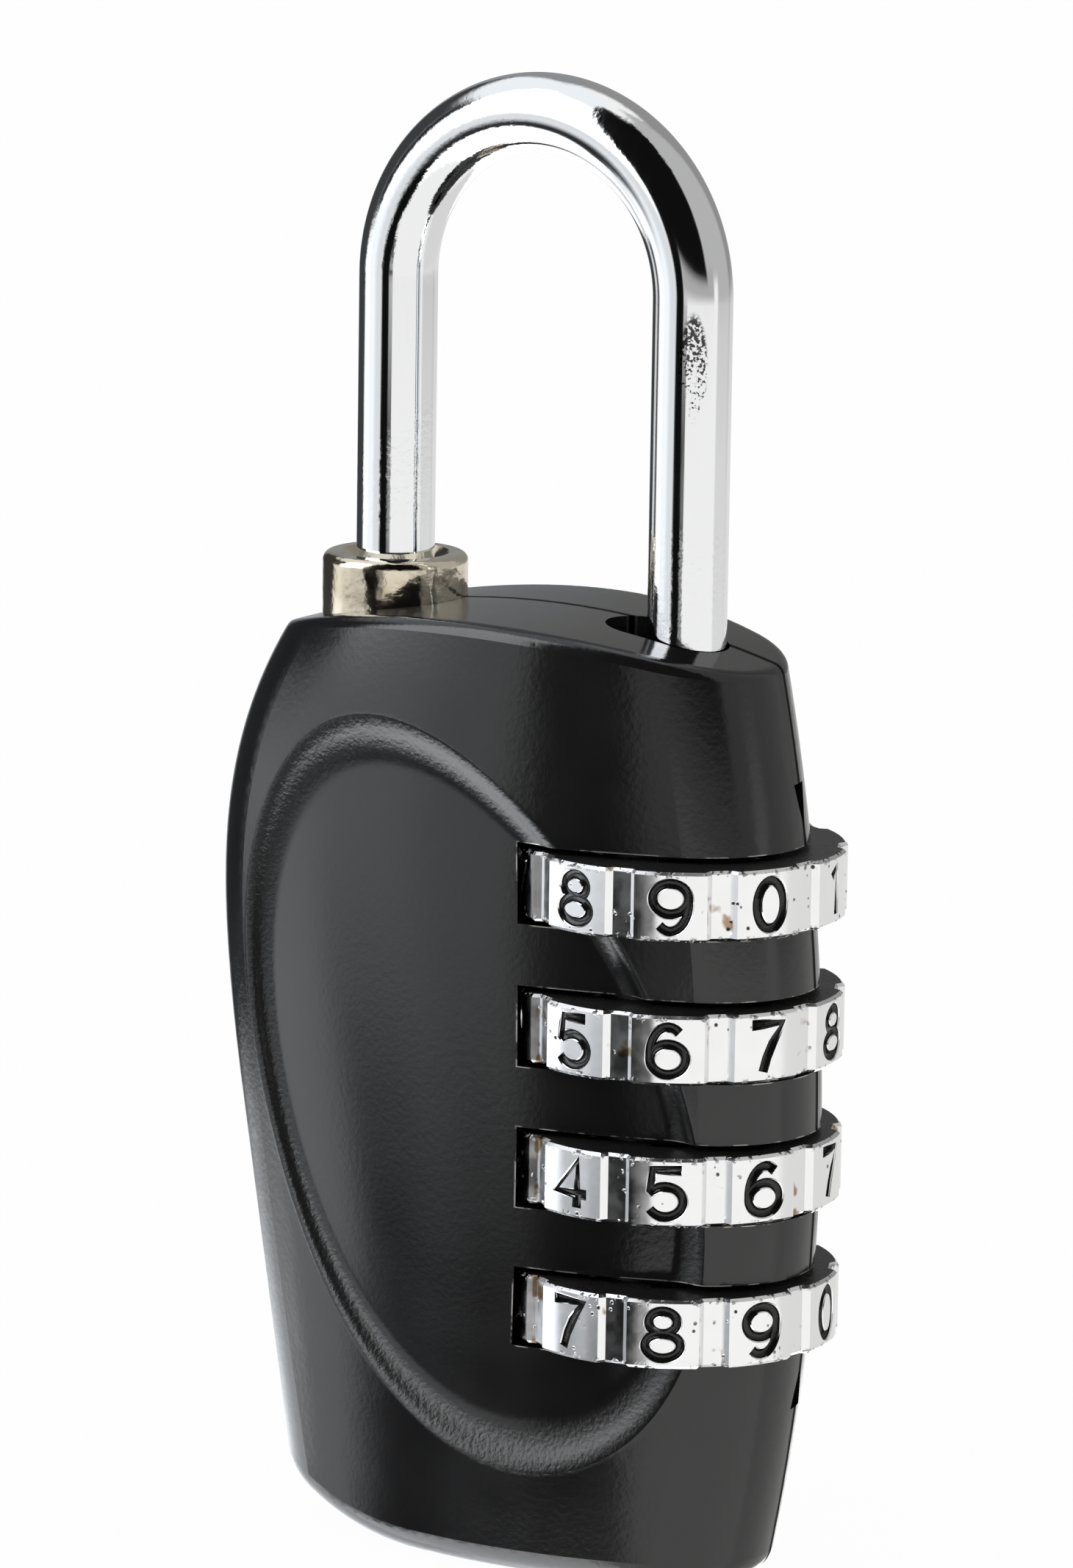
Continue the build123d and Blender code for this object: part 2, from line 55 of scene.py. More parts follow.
# Camera, fitted to the shackle's legs, the bow and the dial edges
PHOTO_HEIGHT = 2134
FOCAL_PIXELS = 10786
SENSOR = 36.0
VIEW_AZIMUTH = math.radians(32.454)
VIEW_ELEVATION = math.radians(10.98)
VIEW_ROLL = math.radians(0.855)
VIEW_DISTANCE = 400 * MM
CLIP_START = 10 * MM
VIEW_TARGET_SIDE = -0.016 * MM
VIEW_TARGET_HEIGHT = 39.236 * MM

# Shackle: the rod's ends and what is cut in its long leg, as the CAD has them
TOE_DEPTH = 4.4 * MM
TOE_CHAMFER = 0.5 * MM
CLIP_GROOVE_RADIUS = 1.5 * MM
COMB_SLOT_FLOOR = 0.6 * MM
FIT = 0.02 * MM
ROD_SEGMENTS = 96
# A patch of the long leg, on the side facing the camera, where pits are drawn and a dark reflection is
# painted into the plating's colour
PITS_REFLECTION_AZIMUTH = math.radians(33)
PITS_REFLECTION_Z = 61.4 * MM
PITS_REFLECTION_HALF_WIDTH = 0.75 * MM
PITS_REFLECTION_HALF_LENGTH = 2.8 * MM
PITS_REFLECTION_GRAIN = 0.16 * MM
BOW_STEPS = 120
LEG_STEPS = 40

# Dials: the digit that each one shows at the reading line, and the form of its numerals
SHOWN_DIGITS = {"dial_1": 1, "dial_2": 8, "dial_3": 7, "dial_4": 0}
DIGIT_COUNT = 10
READ_ANGLE = math.atan2(1.25, 7.5)
DIGIT_HEIGHT = 2.4 * MM
DIGIT_WIDENING = 1.1
ARC_STEP = 12
TUBE_ROUNDING = 3
GROOVE_RADIUS = 0.24 * MM
GROOVE_SINK = 0.05 * MM
LIP_RADIUS = 0.36 * MM
LIP_RISE = 0.20 * MM
LAND_TOP = 8.1 * MM
LAND_FADE = 0.1 * MM

# Case: the curves of its front, as the CAD has them
CASE_HEIGHT = 48.4 * MM
CASE_LEFT = 17.85 * MM
CASE_RIGHT = 16.2 * MM
CASE_HALF_DEPTH = 7.9 * MM
END_RADIUS = 5.5 * MM
WIDEST_Z = 33.9 * MM
LEFT_UPPER_RADIUS = 23 * MM
LEFT_LOWER_RADIUS = 60 * MM
LEFT_LOWER_HEIGHT = 9.8 * MM
RIGHT_BELLY_Z = 23 * MM
RIGHT_SIDE_RADIUS = 110 * MM
BARREL_RADIUS = 300 * MM
PARTING_Y = 1.25 * MM
SEAM_DIRT = 0.3 * MM
# Width of the black line of painted shade along the closed seam
SEAM_SHADE_WIDTH = 0.14 * MM
SEAM_LEFT_OPEN = 0.002 * MM

# Oval panel of the front shell: its floor, and the hollow cove that runs round it
PANEL_SHIFT = -0.4 * MM
PANEL_Z = 24.4 * MM
PANEL_TILT = math.radians(23)
FLOOR_HALF_LENGTH = 16.7 * MM
FLOOR_HALF_WIDTH = 10.8 * MM
RIM_HALF_LENGTH = 19.8 * MM
RIM_HALF_WIDTH = 12.4 * MM
PANEL_DEPTH = 0.75 * MM
RIM_ROUND = 0.29
RIM_SLOPE = 0.2
PANEL_SEGMENTS = 240
FLOOR_RINGS = 14
COVE_RINGS = 24
COVE_REACH = 1.2
COVE_STARTS = (0.86, 0.91)
COVE_ENDS = (1.01, 0.99)
FRONT_STARTS = (1 * MM, -1 * MM)
PANEL_CLEAR_Y = -14 * MM

# Dial windows, whose rims are worn
WINDOW_RADIUS = 8.65 * MM
WINDOW_HALF_HEIGHT = 2.05 * MM
WEAR_STARTS = (0.004 * MM, 0.012 * MM)
WEAR_ENDS = (0.08 * MM, 0.03 * MM)

# Colours, with alpha, and bare colours of turned steel
PAINT_TONES = ((0.006, 0.006, 0.0065, 1), (0.010, 0.010, 0.0105, 1))
BARE_ZINC = (0.52, 0.50, 0.47, 1)
# Painted shade for the crevice of the seam between the shells
SEAM_PAINTED_SHADE = (0.0005, 0.0005, 0.0005, 1)
CHROME = (0.86, 0.87, 0.88, 1)
# Painted dark reflection, laid in the pitted patch of the long leg
PITS_PAINTED_REFLECTION = (0.06, 0.06, 0.064, 1)
DIAL_METAL = (0.92, 0.92, 0.93, 1)
LAND_BROWN = (0.42, 0.30, 0.19, 1)
DIAL_DARK = (0.012, 0.011, 0.011, 1)
NICKEL_TONES = ((0.80, 0.73, 0.60, 1), (0.62, 0.54, 0.41, 1))
ENAMEL = (0.006, 0.006, 0.006, 1)
BLACK_STEEL = (0.05, 0.05, 0.052)
PLAIN_STEEL = (0.55, 0.55, 0.56)
FLOOR_COLOUR = (0.9, 0.9, 0.9, 1)

# Finishes: roughness, sizes of grain and heights of relief
PAINT_IOR = 1.6
PAINT_ROUGHNESS = (0.13, 0.18)
COVE_ROUGHNESS = 0.22
SEAM_ROUGHNESS = 0.7
WORN_ROUGHNESS = 0.35
PEEL_GRAIN = 0.30 * MM
PEEL_SHARE = 0.28
COVE_GRAIN = 0.24 * MM
PAINT_RELIEF = 0.024 * MM
WEAR_GRAIN = 1.3 * MM
CHROME_ROUGHNESS = (0.04, 0.08)
CHROME_RELIEF = 0.010 * MM
DRAWN_OUT = 0.12
DIAL_ROUGHNESS = (0.10, 0.18)
DIAL_DARK_ROUGHNESS = 0.4
DIAL_RELIEF = 0.02 * MM
LAND_BROWN_GRAIN = 1.8 * MM
PINHOLE_GRAIN = 0.55 * MM
NICKEL_ROUGHNESS = (0.07, 0.16)
NICKEL_RELIEF = 0.09 * MM
ENAMEL_ROUGHNESS = (0.12, 0.3)
ENAMEL_RELIEF = 0.02 * MM
TURNED_GRAIN = 0.25 * MM
TURNED_RELIEF = 0.01 * MM
TURNED_SHADE = 0.7
TURNED_SPREAD = 0.12
FLOOR_ROUGHNESS = 0.9
NOISE_LOW, NOISE_HIGH = 0.3, 0.7

# Normals are carried over to a cut face from a surface that it lies on this closely
NEAR = 1e-6
SAME_FACING = 0.999
SHARP_ANGLE = math.radians(30)

# Studio: a wide globe that only reflections see. Each patch has bearings counted to the right of the
# camera, elevations, a light level and the width over which its edge fades, all angles in degrees
GLOBE_RADIUS = 1.2
GLOBE_CENTRE = Vector((0, 0, 0.045))
GLOBE_STEP = 2
GLOBE_LEVEL = 1.0
PATCHES = {
    "wall_right": ((43, 130), (-8, 80), 0.5, 4),
    "wall_back": ((125, 197), (-6, 60), 0.3, 6),
    "ground_right": ((75, 200), (-60, -8), 0.75, 6),
    "ground_front": ((-27, 75), (-70, 4), 0.98, 4),
    "haze_front": ((-27, 62), (-4.5, 9), 0.45, 2.2),
    "flag_left": ((-165, -110), (-22, 35), 0.05, 5),
    "wall_left": ((-112, -92), (1, 35), 0.03, 4),
    "ground_left": ((-205, -34), (-90, -31), 3.4, 3),
    "ground_edge": ((-205, -112), (-60, -18), 2.2, 2),
    "flag_low": ((-95, -34), (-31, -12), 0.03, 3),
    "softbox_edge": ((-112, -91), (-21, -1), 1.3, 5),
    "softbox_left": ((-90, -68), (-14, 6), 1.1, 8),
    "softbox_near": ((-70, -48), (-14, 6), 0.82, 8),
    "softbox_high": ((-95, -34), (4, 60), 3.2, 5),
    "flag_gap": ((-48, -27), (-31, 80), 0.005, 1.4),
    "flag_legs": ((-50, -17), (-10, -6.4), 0.005, 1.2),
    "flag_mid": ((-46, -19), (-17, -11.4), 0.005, 1.5),
    "flag_front": ((-42, 43), (3.5, 80), 0.005, 3),
}
COOL_TINT = Vector((0.965, 1.0, 1.035))
WARM_TINT = Vector((1.005, 1.0, 0.985))
COOL_BEARING = -80
WARM_BEARING = -20
FLOOR_SIZE = 6.0
FLOOR_GLOW = 0.97
KEY_PLACE = Vector((-0.75, -0.75, 0.75))
KEY_SIZE = 0.6
KEY_POWER = 5.0
SKY_LEVEL = 0.7

SHACKLE_LOW, SHACKLE_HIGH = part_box("shackle")
ROD_RADIUS = (SHACKLE_HIGH.y - SHACKLE_LOW.y) / 2
MID_X = (SHACKLE_LOW.x + SHACKLE_HIGH.x) / 2
BOW_RADIUS = (SHACKLE_HIGH.x - SHACKLE_LOW.x) / 2 - ROD_RADIUS
HEEL_X = MID_X + BOW_RADIUS
DIAL_LEVELS = [sum(corner.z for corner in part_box(node)) / 2 for node in SHOWN_DIGITS]


class Surface:
    """A principled material and the nodes that feed it."""

    def __init__(self, name, **sockets):
        self.material = bpy.data.materials.new(name)
        self.material.use_nodes = True
        self.tree = self.material.node_tree
        self.shader = self.tree.nodes["Principled BSDF"]
        for socket, value in sockets.items():
            self.feed(self.shader, socket.replace("_", " "), value)

    def feed(self, node, socket, value):
        """Sets a socket to a constant, or links it to another node's output."""
        if isinstance(value, bpy.types.NodeSocket):
            self.tree.links.new(value, node.inputs[socket])
        else:
            node.inputs[socket].default_value = value

    def node(self, kind, output, settings=(), **inputs):
        made = self.tree.nodes.new("ShaderNode" + kind)
        for name, value in dict(settings).items():
            setattr(made, name, value)
        for socket, value in inputs.items():
            self.feed(made, int(socket[1:]) if socket[1:].isdigit() else socket.replace("_", " "), value)
        return made.outputs[output]

    def place(self):
        return self.node("TexCoord", "Object")

    def noise(self, size, detail=2.0, place=None):
        """Soft random pattern whose grains are about this size, in metres."""
        return self.node("TexNoise", "Fac", Vector=place or self.place(), Scale=1 / size, Detail=detail)

    def spots(self, size):
        return self.node("TexVoronoi", "Distance", Vector=self.place(), Scale=1 / size)

    def remap(self, value, low, high, to_low=0.0, to_high=1.0):
        """Smoothly maps the range low to high on to another one."""
        return self.node(
            "MapRange", 0, {"interpolation_type": "SMOOTHSTEP"},
            _0=value, _1=low, _2=high, _3=to_low, _4=to_high,
        )

    def spread(self, noise, low, high):
        """Maps a noise's usual range on to another one."""
        return self.remap(noise, NOISE_LOW, NOISE_HIGH, low, high)

    def length(self, vector):
        return self.node("VectorMath", "Value", {"operation": "LENGTH"}, _0=vector)

    def from_heel(self):
        """Place counted from the heel leg's axis, which the dials turn on."""
        return self.node("VectorMath", 0, {"operation": "SUBTRACT"}, _0=self.place(), _1=(HEEL_X, 0, 0))

    def level_part(self, vector):
        return self.node("VectorMath", 0, {"operation": "MULTIPLY"}, _0=vector, _1=(1, 1, 0))

    def math(self, operation, first, second=0.0):
        return self.node("Math", 0, {"operation": operation}, _0=first, _1=second)

    def mix(self, factor, first, second):
        """Colour between two colours."""
        return self.node("Mix", 2, {"data_type": "RGBA"}, _0=factor, _6=first, _7=second)

    def blend(self, factor, first, second):
        """Number between two numbers."""
        return self.node("Mix", 0, {"data_type": "FLOAT"}, _0=factor, _2=first, _3=second)

    def bump(self, height, depth):
        normal = self.node("Bump", 0, Height=height, Distance=depth, Strength=1.0)
        self.feed(self.shader, "Normal", normal)


def paint():
    """Black satin paint: orange peel, coarser in the cove, worn at the windows, duller near the seam,
    with painted shade along the seam's closed crevice.
    """
    s = Surface("black_paint", IOR=PAINT_IOR)
    turned = s.node(
        "Mapping", 0, {"vector_type": "TEXTURE"}, Vector=s.place(),
        Location=(MID_X + PANEL_SHIFT, 0, PANEL_Z), Rotation=(0, -PANEL_TILT, 0),
        Scale=(RIM_HALF_WIDTH, 1, RIM_HALF_LENGTH),
    )
    level = s.node("SeparateXYZ", "Y", Vector=s.place())
    flat = s.node("VectorMath", 0, {"operation": "MULTIPLY"}, _0=turned, _1=(1, 0, 1))
    oval = s.length(flat)
    band = s.math("MULTIPLY", s.remap(oval, *COVE_STARTS), s.remap(oval, *COVE_ENDS))
    cove = s.math("MULTIPLY", band, s.remap(level, *FRONT_STARTS))
    from_seam = s.math("ABSOLUTE", s.math("SUBTRACT", level, PARTING_Y))
    seam = s.remap(from_seam, SEAM_DIRT, 0.5 * SEAM_DIRT)
    # Painted shade: a thin black line that reflects nothing, along the seam, standing in for the shadow
    # in the gap between the shells
    seam_shade = s.remap(from_seam, SEAM_SHADE_WIDTH, 0.7 * SEAM_SHADE_WIDTH)
    worn = s.math("MULTIPLY", window_rim(s), s.remap(s.noise(WEAR_GRAIN, 5.0), 0.47, 0.57))
    peel = s.noise(PEEL_GRAIN, 4.0)
    speckle = s.noise(COVE_GRAIN, 4.0)
    tone = s.mix(s.noise(3 * MM), *PAINT_TONES)
    coated = s.mix(worn, tone, BARE_ZINC)
    s.feed(s.shader, "Base Color", s.mix(seam_shade, coated, SEAM_PAINTED_SHADE))
    s.feed(s.shader, "Metallic", s.math("MAXIMUM", worn, seam_shade))
    smooth = s.spread(s.noise(6 * MM), *PAINT_ROUGHNESS)
    dull = s.blend(seam, s.blend(cove, smooth, COVE_ROUGHNESS), SEAM_ROUGHNESS)
    s.feed(s.shader, "Roughness", s.blend(worn, dull, WORN_ROUGHNESS))
    s.bump(s.blend(cove, s.math("MULTIPLY", peel, PEEL_SHARE), speckle), PAINT_RELIEF)
    return s.material


def window_rim(s):
    """One in a narrow band of the outer face along the edges of the dial windows."""
    place = s.from_heel()
    across = s.math("SUBTRACT", s.length(s.level_part(place)), WINDOW_RADIUS)
    height = s.node("SeparateXYZ", "Z", Vector=place)
    rims = None
    for middle in DIAL_LEVELS:
        off_middle = s.math("ABSOLUTE", s.math("SUBTRACT", height, middle))
        away = s.math("MAXIMUM", across, s.math("SUBTRACT", off_middle, WINDOW_HALF_HEIGHT))
        band = s.math("MULTIPLY", s.remap(away, *WEAR_STARTS), s.remap(away, *WEAR_ENDS))
        rims = band if rims is None else s.math("MAXIMUM", rims, band)
    return rims


def chrome():
    """Polished plating with faint drawing marks, rougher in places, and with pits; a patch of the long
    leg has a dark reflection painted into its colour.
    """
    s = Surface("chromed_steel", Metallic=1.0)
    # Base colour: chrome, with a painted dark reflection in the pitted patch
    s.feed(s.shader, "Base Color", s.mix(pits_and_painted_reflection(s), CHROME, PITS_PAINTED_REFLECTION))
    drawn = s.node("Mapping", 0, Vector=s.place(), Scale=(1, 1, DRAWN_OUT))
    marks = s.noise(0.5 * MM, 3.0, drawn)
    patch = s.remap(s.noise(9 * MM), 0.48, 0.60)
    grain = s.math("MULTIPLY", s.noise(0.3 * MM, 4.0), patch)
    pits = s.remap(s.spots(2.6 * MM), 0.05, 0.02)
    s.feed(s.shader, "Roughness", s.spread(marks, *CHROME_ROUGHNESS))
    height = s.math("ADD", s.math("MULTIPLY", marks, 0.06), s.math("MULTIPLY", grain, 0.9))
    s.bump(s.math("SUBTRACT", height, pits), CHROME_RELIEF)
    return s.material


def pits_and_painted_reflection(s):
    """One in the pits of a short stretch of the long leg, closer together at its top; the dark colour
    laid there is a painted reflection.
    """
    out = ROD_RADIUS * Vector((math.sin(PITS_REFLECTION_AZIMUTH), -math.cos(PITS_REFLECTION_AZIMUTH), 0))
    place = s.node(
        "Mapping", 0, {"vector_type": "TEXTURE"}, Vector=s.place(),
        Location=out + Vector((HEEL_X, 0, PITS_REFLECTION_Z)),
        Scale=(PITS_REFLECTION_HALF_WIDTH, PITS_REFLECTION_HALF_WIDTH, PITS_REFLECTION_HALF_LENGTH),
    )
    cover = s.remap(s.node("SeparateXYZ", "Z", Vector=place), -0.8, 0.6, -0.08, 0.06)
    pits_and_reflection_mask = s.remap(s.math("ADD", s.noise(PITS_REFLECTION_GRAIN, 3.0), cover), 0.50, 0.58)
    return s.math("MULTIPLY", s.remap(s.length(place), 1.05, 0.85), pits_and_reflection_mask)


def dial_chrome():
    """Plated casting: bright rim, dark flat faces, pinholes and brown patches on a few of the sunk
    lands.
    """
    s = Surface("dial_chrome")
    normal = s.node("SeparateXYZ", "Z", Vector=s.node("TexCoord", "Normal"))
    face = s.remap(s.math("ABSOLUTE", normal), 0.75, 0.9)
    height = s.node("SeparateXYZ", "Z", Vector=s.node("TexCoord", "Generated"))
    edge = s.remap(s.math("ABSOLUTE", s.math("SUBTRACT", height, 0.5)), 0.40, 0.49)
    chips = s.math("MULTIPLY", edge, s.remap(s.noise(0.35 * MM, 4.0), 0.56, 0.64))
    sunk = s.remap(s.length(s.level_part(s.from_heel())), LAND_TOP, LAND_TOP - LAND_FADE)
    # Brown colour laid on a few of the sunk lands between the pads
    brown_lands = s.math("MULTIPLY", sunk, s.remap(s.noise(LAND_BROWN_GRAIN, 3.0), 0.57, 0.64))
    pinholes = s.remap(s.spots(PINHOLE_GRAIN), 0.22, 0.12)
    pits = s.math("MULTIPLY", pinholes, s.remap(s.noise(2 * MM), 0.55, 0.62))
    flaws = s.math("MAXIMUM", chips, pits)
    dark = s.math("MAXIMUM", face, flaws)
    metal = s.mix(brown_lands, DIAL_METAL, LAND_BROWN)
    s.feed(s.shader, "Base Color", s.mix(dark, metal, DIAL_DARK))
    s.feed(s.shader, "Metallic", s.remap(dark, 0.4, 0.6, 1.0, 0.0))
    bright = s.spread(s.noise(1.2 * MM), *DIAL_ROUGHNESS)
    s.feed(s.shader, "Roughness", s.blend(dark, bright, DIAL_DARK_ROUGHNESS))
    waves = s.math("MULTIPLY", s.noise(0.9 * MM), 0.15)
    s.bump(s.math("SUBTRACT", waves, flaws), DIAL_RELIEF)
    return s.material


def nickel():
    """Warm nickel on a casting that was never polished flat."""
    s = Surface("nickel", Metallic=1.0)
    tone = s.remap(s.noise(3 * MM, 3.0), 0.35, 0.65)
    s.feed(s.shader, "Base Color", s.mix(tone, *NICKEL_TONES))
    s.feed(s.shader, "Roughness", s.spread(s.noise(1.5 * MM), *NICKEL_ROUGHNESS))
    waves = s.math("ADD", s.noise(1.6 * MM), s.math("MULTIPLY", s.noise(0.3 * MM, 3.0), 0.12))
    s.bump(waves, NICKEL_RELIEF)
    return s.material


def digit_paint():
    """Gloss black enamel that fills the numerals."""
    s = Surface("digit_paint", Base_Color=ENAMEL)
    s.feed(s.shader, "Roughness", s.spread(s.noise(0.4 * MM), *ENAMEL_ROUGHNESS))
    s.bump(s.noise(0.25 * MM, 3.0), ENAMEL_RELIEF)
    return s.material


def turned_metal(name, color, roughness):
    """Machined inner piece with fine rings round its upright axis."""
    s = Surface(name, Metallic=1.0)
    rings = s.noise(TURNED_GRAIN, 2.0, s.node("Mapping", 0, Vector=s.place(), Scale=(0.1, 0.1, 1)))
    shade = tuple(TURNED_SHADE * part for part in color)
    s.feed(s.shader, "Base Color", s.mix(s.spread(rings, 0.0, 1.0), (*color, 1), (*shade, 1)))
    s.feed(s.shader, "Roughness", s.spread(rings, roughness, roughness + TURNED_SPREAD))
    s.bump(rings, TURNED_RELIEF)
    return s.material


def arc(centre_x, centre_y, radius_x, radius_y, start, end):
    """Points along an ellipse's arc, in units of the digit's height, angles in degrees."""
    count = max(2, round(abs(end - start) / ARC_STEP))
    angles = [math.radians(start + (end - start) * i / count) for i in range(count + 1)]
    return [(centre_x + radius_x * math.cos(a), centre_y + radius_y * math.sin(a)) for a in angles]


def numeral(digit):
    """Pen strokes of a round-ended numeral one unit tall, x to the right and y up."""
    if digit == 0:
        return [arc(0, 0, 0.29, 0.5, 90, 450)]
    if digit == 1:
        return [[(-0.2, 0.3), (0, 0.5), (0, -0.5)]]
    if digit == 2:
        return [arc(0, 0.19, 0.32, 0.31, 165, -35) + [(-0.33, -0.5), (0.35, -0.5)]]
    if digit == 3:
        return [arc(0, 0.25, 0.29, 0.25, 150, -90) + arc(0, -0.25, 0.33, 0.25, 90, -155)[1:]]
    if digit == 4:
        return [[(0.17, -0.5), (0.17, 0.5), (-0.36, -0.2), (0.38, -0.2)]]
    if digit == 5:
        return [[(0.3, 0.5), (-0.24, 0.5), (-0.28, 0.06)] + arc(0, -0.18, 0.34, 0.32, 138, -150)]
    if digit == 6:
        return [arc(0, -0.06, 0.34, 0.56, 52, 175) + arc(0, -0.18, 0.34, 0.32, 180, 540)]
    if digit == 7:
        return [[(-0.34, 0.5), (0.34, 0.5), (0.1, 0.08), (-0.02, -0.2), (-0.1, -0.5)]]
    if digit == 8:
        return [arc(0, 0.26, 0.27, 0.24, -90, 270), arc(0, -0.24, 0.34, 0.26, 90, 450)]
    return [[(-x, -y) for x, y in stroke] for stroke in numeral(6)]


def stroke_tubes(name, node, axis, radius, offset, material):
    """Tubes along the numerals of one dial, wrapped on its rim, as a cutter."""
    low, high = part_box(node)
    rim = high.x - axis.x
    middle = (low.z + high.z) / 2
    curve = bpy.data.curves.new(name, "CURVE")
    curve.dimensions = "3D"
    curve.bevel_depth = radius
    curve.bevel_resolution = TUBE_ROUNDING
    curve.use_fill_caps = True
    for digit in range(DIGIT_COUNT):
        turn = READ_ANGLE + math.tau / DIGIT_COUNT * (digit - SHOWN_DIGITS[node])
        for stroke in numeral(digit):
            closed = (Vector(stroke[0]) - Vector(stroke[-1])).length < NEAR
            spline = curve.splines.new("POLY")
            spline.use_cyclic_u = closed
            points = stroke[:-1] if closed else stroke
            spline.points.add(len(points) - 1)
            for point, (x, y) in zip(spline.points, points):
                angle = turn + x * DIGIT_WIDENING * DIGIT_HEIGHT / rim
                out = rim + offset
                point.co = (
                    axis.x + out * math.cos(angle), axis.y + out * math.sin(angle),
                    middle + y * DIGIT_HEIGHT, 1,
                )
    piece = bpy.data.objects.new(name, curve)
    mesh = bpy.data.meshes.new_from_object(piece)
    bpy.data.objects.remove(piece)
    return new_piece(name, mesh, material)


def carry_normals(mesh, sources):
    """Gives each face the shading of the surface that it lies on; a source is a mesh and its sign."""
    trees = []
    for source, sign in sources:
        corners = [vertex.co for vertex in source.vertices]
        tree = BVHTree.FromPolygons(corners, [face.vertices[:] for face in source.polygons])
        trees.append((source, sign, tree))
    mesh.calc_loop_triangles()
    largest = {}
    for triangle in mesh.loop_triangles:
        kept = largest.get(triangle.polygon_index)
        if kept is None or triangle.area > kept.area:
            largest[triangle.polygon_index] = triangle
    normals = [normal.vector.copy() for normal in mesh.corner_normals]
    for face in mesh.polygons:
        inside = sum((mesh.vertices[i].co for i in largest[face.index].vertices), Vector()) / 3
        for source, sign, tree in trees:
            _, facing, index, distance = tree.find_nearest(inside)
            if distance > NEAR or sign * facing.dot(face.normal) < SAME_FACING:
                continue
            whole = source.polygons[index]
            outline = [source.vertices[i].co for i in whole.vertices]
            around = [source.corner_normals[i].vector for i in whole.loop_indices]
            for loop in face.loop_indices:
                shares = poly_3d_calc(outline, mesh.vertices[mesh.loops[loop].vertex_index].co)
                blended = sum((normal * share for normal, share in zip(around, shares)), Vector())
                normals[loop] = sign * blended.normalized()
            break
    mesh.normals_split_custom_set(normals)


def cut(piece, cutter):
    """Takes the cutter's form out of a piece; the new faces keep the cutter's material and shading."""
    before = piece.data
    boolean = piece.modifiers.new("cut", "BOOLEAN")
    boolean.object = cutter
    boolean.operation = "DIFFERENCE"
    boolean.solver = "EXACT"
    boolean.use_self = True
    boolean.material_mode = "TRANSFER"
    depsgraph = bpy.context.evaluated_depsgraph_get()
    mesh = bpy.data.meshes.new_from_object(piece.evaluated_get(depsgraph))
    piece.modifiers.clear()
    piece.data = mesh
    carry_normals(mesh, [(before, 1), (cutter.data, -1)])
    bpy.data.objects.remove(cutter)


def new_piece(name, mesh, material):
    mesh.materials.clear()
    mesh.materials.append(material)
    piece = bpy.data.objects.new(name, mesh)
    bpy.context.scene.collection.objects.link(piece)
    return piece


def ring_mesh(name, rings):
    """Smooth closed mesh through rings of points, each with as many points as the next."""
    count = len(rings[0])
    faces = []
    for row in range(len(rings) - 1):
        for i in range(count):
            j = (i + 1) % count
            this, following = row * count, (row + 1) * count
            faces.append((this + i, this + j, following + j, following + i))
    last = (len(rings) - 1) * count
    faces.append(tuple(reversed(range(count))))
    faces.append(tuple(range(last, last + count)))
    mesh = bpy.data.meshes.new(name)
    mesh.from_pydata([point for ring in rings for point in ring], [], faces)
    mesh.shade_smooth()
    mesh.set_sharp_from_angle(angle=SHARP_ANGLE)
    return mesh


def polished_shackle(material):
    """The bent rod, drawn finely enough for mirror plating, with its groove, slot and chamfered toe."""
    spring_z = SHACKLE_HIGH.z - BOW_RADIUS - ROD_RADIUS
    toe_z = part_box("toe_collar")[1].z - TOE_DEPTH
    clip_low, clip_high = (corner.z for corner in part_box("spindle_clip"))
    stations = []

    def leg(turn, low, high, radius_low, radius_high, steps):
        for i in range(steps + 1):
            share = i / steps
            radius = radius_low + (radius_high - radius_low) * share
            stations.append((turn, low + (high - low) * share, radius))

    leg(0, SHACKLE_LOW.z, clip_low - FIT, ROD_RADIUS, ROD_RADIUS, 1)
    leg(0, clip_low - FIT, clip_high + FIT, CLIP_GROOVE_RADIUS, CLIP_GROOVE_RADIUS, 1)
    leg(0, clip_high + FIT, spring_z, ROD_RADIUS, ROD_RADIUS, LEG_STEPS)
    for i in range(1, BOW_STEPS):
        stations.append((math.pi * i / BOW_STEPS, spring_z, ROD_RADIUS))
    leg(math.pi, spring_z, toe_z + TOE_CHAMFER, ROD_RADIUS, ROD_RADIUS, LEG_STEPS)
    leg(math.pi, toe_z + TOE_CHAMFER, toe_z, ROD_RADIUS, ROD_RADIUS - TOE_CHAMFER, 1)
    rings = []
    angles = [math.tau * i / ROD_SEGMENTS for i in range(ROD_SEGMENTS)]
    for turn, height, radius in stations:
        outward = Vector((math.cos(turn), 0, math.sin(turn)))
        centre = Vector((MID_X, 0, height)) + BOW_RADIUS * outward
        ring = []
        for angle in angles:
            ring.append(centre + radius * (outward * math.cos(angle) + Vector((0, math.sin(angle), 0))))
        rings.append(ring)
    piece = new_piece("polished_shackle", ring_mesh("polished_shackle", rings), material)
    cut(piece, comb_slot(material))
    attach(piece, "shackle")
    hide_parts("shackle")


def comb_slot(material):
    """Box that cuts the fin comb's slot in the long leg."""
    low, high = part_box("fin_comb")
    shape = bmesh.new()
    bmesh.ops.create_cube(shape, size=1)
    size = Vector((2 * ROD_RADIUS, high.y - low.y + 2 * FIT, high.z - low.z + 2 * FIT))
    centre = Vector((HEEL_X - COMB_SLOT_FLOOR - ROD_RADIUS, 0, (low.z + high.z) / 2))
    for vertex in shape.verts:
        vertex.co = centre + Vector(c * side for c, side in zip(vertex.co, size))
    mesh = bpy.data.meshes.new("comb_slot")
    shape.to_mesh(mesh)
    shape.free()
    return new_piece("comb_slot", mesh, material)


def arc_drop(distance, radius):
    return radius - math.sqrt(radius**2 - distance**2)


